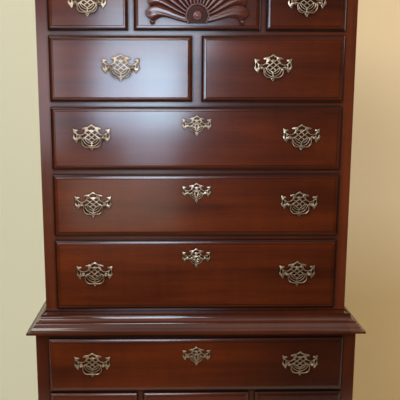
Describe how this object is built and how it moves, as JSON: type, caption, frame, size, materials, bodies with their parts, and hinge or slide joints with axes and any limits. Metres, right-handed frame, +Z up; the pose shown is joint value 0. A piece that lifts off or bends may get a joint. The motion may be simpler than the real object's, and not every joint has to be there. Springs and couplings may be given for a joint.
{
  "type": "tall chest of drawers",
  "caption": "Tall chest-on-frame with lipped drawers, pierced brass bail pulls, stepped waist moulding, carved shell drawers, scroll pediment and cabriole legs.",
  "frame": {"origin": "on the floor at the middle of the lower case's footprint", "axes": "+Z up, drawer fronts face -Y, +X to the right as seen from behind the fronts, so to the viewer's right"},
  "size_m": [1.0078, 0.5538, 2.239],
  "materials": {
    "mahogany": "red-brown mahogany, satin to gloss varnish",
    "poplar": "pale plain secondary wood, planed",
    "brass": "antique brass, softly polished"
  },
  "bodies": {
    "case": {"upper_side_panels": "mahogany", "upper_front_frame": "mahogany", "upper_dust_boards": "poplar", "back_panels": "poplar", "scroll_board": "mahogany", "cornice_mouldings": "mahogany", "finials": "mahogany", "waist_moulding": "mahogany", "lower_side_panels": "mahogany", "lower_front_frame": "mahogany", "lower_dust_boards": "poplar", "cabriole_legs": "mahogany"},
    "drawer_row1_left": {"row1_left_front": "mahogany", "row1_left_box": "poplar", "row1_left_plate": "brass"},
    "row1_left_bail": {"row1_left_bail": "brass"},
    "drawer_row1_centre": {"row1_centre_front": "mahogany", "row1_centre_box": "poplar"},
    "drawer_row1_right": {"row1_right_front": "mahogany", "row1_right_box": "poplar", "row1_right_plate": "brass"},
    "row1_right_bail": {"row1_right_bail": "brass"},
    "drawer_row2_left": {"row2_left_front": "mahogany", "row2_left_box": "poplar", "row2_left_plate": "brass"},
    "row2_left_bail": {"row2_left_bail": "brass"},
    "drawer_row2_right": {"row2_right_front": "mahogany", "row2_right_box": "poplar", "row2_right_plate": "brass"},
    "row2_right_bail": {"row2_right_bail": "brass"},
    "drawer_row3": {"row3_front": "mahogany", "row3_box": "poplar", "row3_plates": "brass"},
    "row3_left_bail": {"row3_left_bail": "brass"},
    "row3_right_bail": {"row3_right_bail": "brass"},
    "drawer_row4": {"row4_front": "mahogany", "row4_box": "poplar", "row4_plates": "brass"},
    "row4_left_bail": {"row4_left_bail": "brass"},
    "row4_right_bail": {"row4_right_bail": "brass"},
    "drawer_row5": {"row5_front": "mahogany", "row5_box": "poplar", "row5_plates": "brass"},
    "row5_left_bail": {"row5_left_bail": "brass"},
    "row5_right_bail": {"row5_right_bail": "brass"},
    "drawer_row6": {"row6_front": "mahogany", "row6_box": "poplar", "row6_plates": "brass"},
    "row6_left_bail": {"row6_left_bail": "brass"},
    "row6_right_bail": {"row6_right_bail": "brass"},
    "drawer_row7_left": {"row7_left_front": "mahogany", "row7_left_box": "poplar", "row7_left_plate": "brass"},
    "row7_left_bail": {"row7_left_bail": "brass"},
    "drawer_row7_centre": {"row7_centre_front": "mahogany", "row7_centre_box": "poplar"},
    "drawer_row7_right": {"row7_right_front": "mahogany", "row7_right_box": "poplar", "row7_right_plate": "brass"},
    "row7_right_bail": {"row7_right_bail": "brass"}
  },
  "joints": [
    {"name": "row1_left_slide", "type": "slide", "parent": "case", "child": "drawer_row1_left", "axis": [0, -1, 0], "range_m": [0, 0.33]},
    {"name": "row1_left_bail_hinge", "type": "hinge", "parent": "drawer_row1_left", "child": "row1_left_bail", "pos_m": [-0.30575, -0.224, 1.8075], "axis": [-1, 0, 0], "range_deg": [-5, 160]},
    {"name": "row1_centre_slide", "type": "slide", "parent": "case", "child": "drawer_row1_centre", "axis": [0, -1, 0], "range_m": [0, 0.33]},
    {"name": "row1_right_slide", "type": "slide", "parent": "case", "child": "drawer_row1_right", "axis": [0, -1, 0], "range_m": [0, 0.33]},
    {"name": "row1_right_bail_hinge", "type": "hinge", "parent": "drawer_row1_right", "child": "row1_right_bail", "pos_m": [0.30575, -0.224, 1.8075], "axis": [-1, 0, 0], "range_deg": [-5, 160]},
    {"name": "row2_left_slide", "type": "slide", "parent": "case", "child": "drawer_row2_left", "axis": [0, -1, 0], "range_m": [0, 0.33]},
    {"name": "row2_left_bail_hinge", "type": "hinge", "parent": "drawer_row2_left", "child": "row2_left_bail", "pos_m": [-0.2155, -0.224, 1.6305], "axis": [-1, 0, 0], "range_deg": [-5, 160]},
    {"name": "row2_right_slide", "type": "slide", "parent": "case", "child": "drawer_row2_right", "axis": [0, -1, 0], "range_m": [0, 0.33]},
    {"name": "row2_right_bail_hinge", "type": "hinge", "parent": "drawer_row2_right", "child": "row2_right_bail", "pos_m": [0.2155, -0.224, 1.6305], "axis": [-1, 0, 0], "range_deg": [-5, 160]},
    {"name": "row3_slide", "type": "slide", "parent": "case", "child": "drawer_row3", "axis": [0, -1, 0], "range_m": [0, 0.33]},
    {"name": "row3_left_bail_hinge", "type": "hinge", "parent": "drawer_row3", "child": "row3_left_bail", "pos_m": [-0.302, -0.224, 1.434], "axis": [-1, 0, 0], "range_deg": [-5, 160]},
    {"name": "row3_right_bail_hinge", "type": "hinge", "parent": "drawer_row3", "child": "row3_right_bail", "pos_m": [0.302, -0.224, 1.434], "axis": [-1, 0, 0], "range_deg": [-5, 160]},
    {"name": "row4_slide", "type": "slide", "parent": "case", "child": "drawer_row4", "axis": [0, -1, 0], "range_m": [0, 0.33]},
    {"name": "row4_left_bail_hinge", "type": "hinge", "parent": "drawer_row4", "child": "row4_left_bail", "pos_m": [-0.302, -0.224, 1.2385], "axis": [-1, 0, 0], "range_deg": [-5, 160]},
    {"name": "row4_right_bail_hinge", "type": "hinge", "parent": "drawer_row4", "child": "row4_right_bail", "pos_m": [0.302, -0.224, 1.2385], "axis": [-1, 0, 0], "range_deg": [-5, 160]},
    {"name": "row5_slide", "type": "slide", "parent": "case", "child": "drawer_row5", "axis": [0, -1, 0], "range_m": [0, 0.33]},
    {"name": "row5_left_bail_hinge", "type": "hinge", "parent": "drawer_row5", "child": "row5_left_bail", "pos_m": [-0.302, -0.224, 1.028], "axis": [-1, 0, 0], "range_deg": [-5, 160]},
    {"name": "row5_right_bail_hinge", "type": "hinge", "parent": "drawer_row5", "child": "row5_right_bail", "pos_m": [0.302, -0.224, 1.028], "axis": [-1, 0, 0], "range_deg": [-5, 160]},
    {"name": "row6_slide", "type": "slide", "parent": "case", "child": "drawer_row6", "axis": [0, -1, 0], "range_m": [0, 0.33]},
    {"name": "row6_left_bail_hinge", "type": "hinge", "parent": "drawer_row6", "child": "row6_left_bail", "pos_m": [-0.31, -0.269, 0.7625], "axis": [-1, 0, 0], "range_deg": [-5, 160]},
    {"name": "row6_right_bail_hinge", "type": "hinge", "parent": "drawer_row6", "child": "row6_right_bail", "pos_m": [0.31, -0.269, 0.7625], "axis": [-1, 0, 0], "range_deg": [-5, 160]},
    {"name": "row7_left_slide", "type": "slide", "parent": "case", "child": "drawer_row7_left", "axis": [0, -1, 0], "range_m": [0, 0.33]},
    {"name": "row7_left_bail_hinge", "type": "hinge", "parent": "drawer_row7_left", "child": "row7_left_bail", "pos_m": [-0.308, -0.269, 0.5865], "axis": [-1, 0, 0], "range_deg": [-5, 160]},
    {"name": "row7_centre_slide", "type": "slide", "parent": "case", "child": "drawer_row7_centre", "axis": [0, -1, 0], "range_m": [0, 0.33]},
    {"name": "row7_right_slide", "type": "slide", "parent": "case", "child": "drawer_row7_right", "axis": [0, -1, 0], "range_m": [0, 0.33]},
    {"name": "row7_right_bail_hinge", "type": "hinge", "parent": "drawer_row7_right", "child": "row7_right_bail", "pos_m": [0.308, -0.269, 0.5865], "axis": [-1, 0, 0], "range_deg": [-5, 160]}
  ]
}
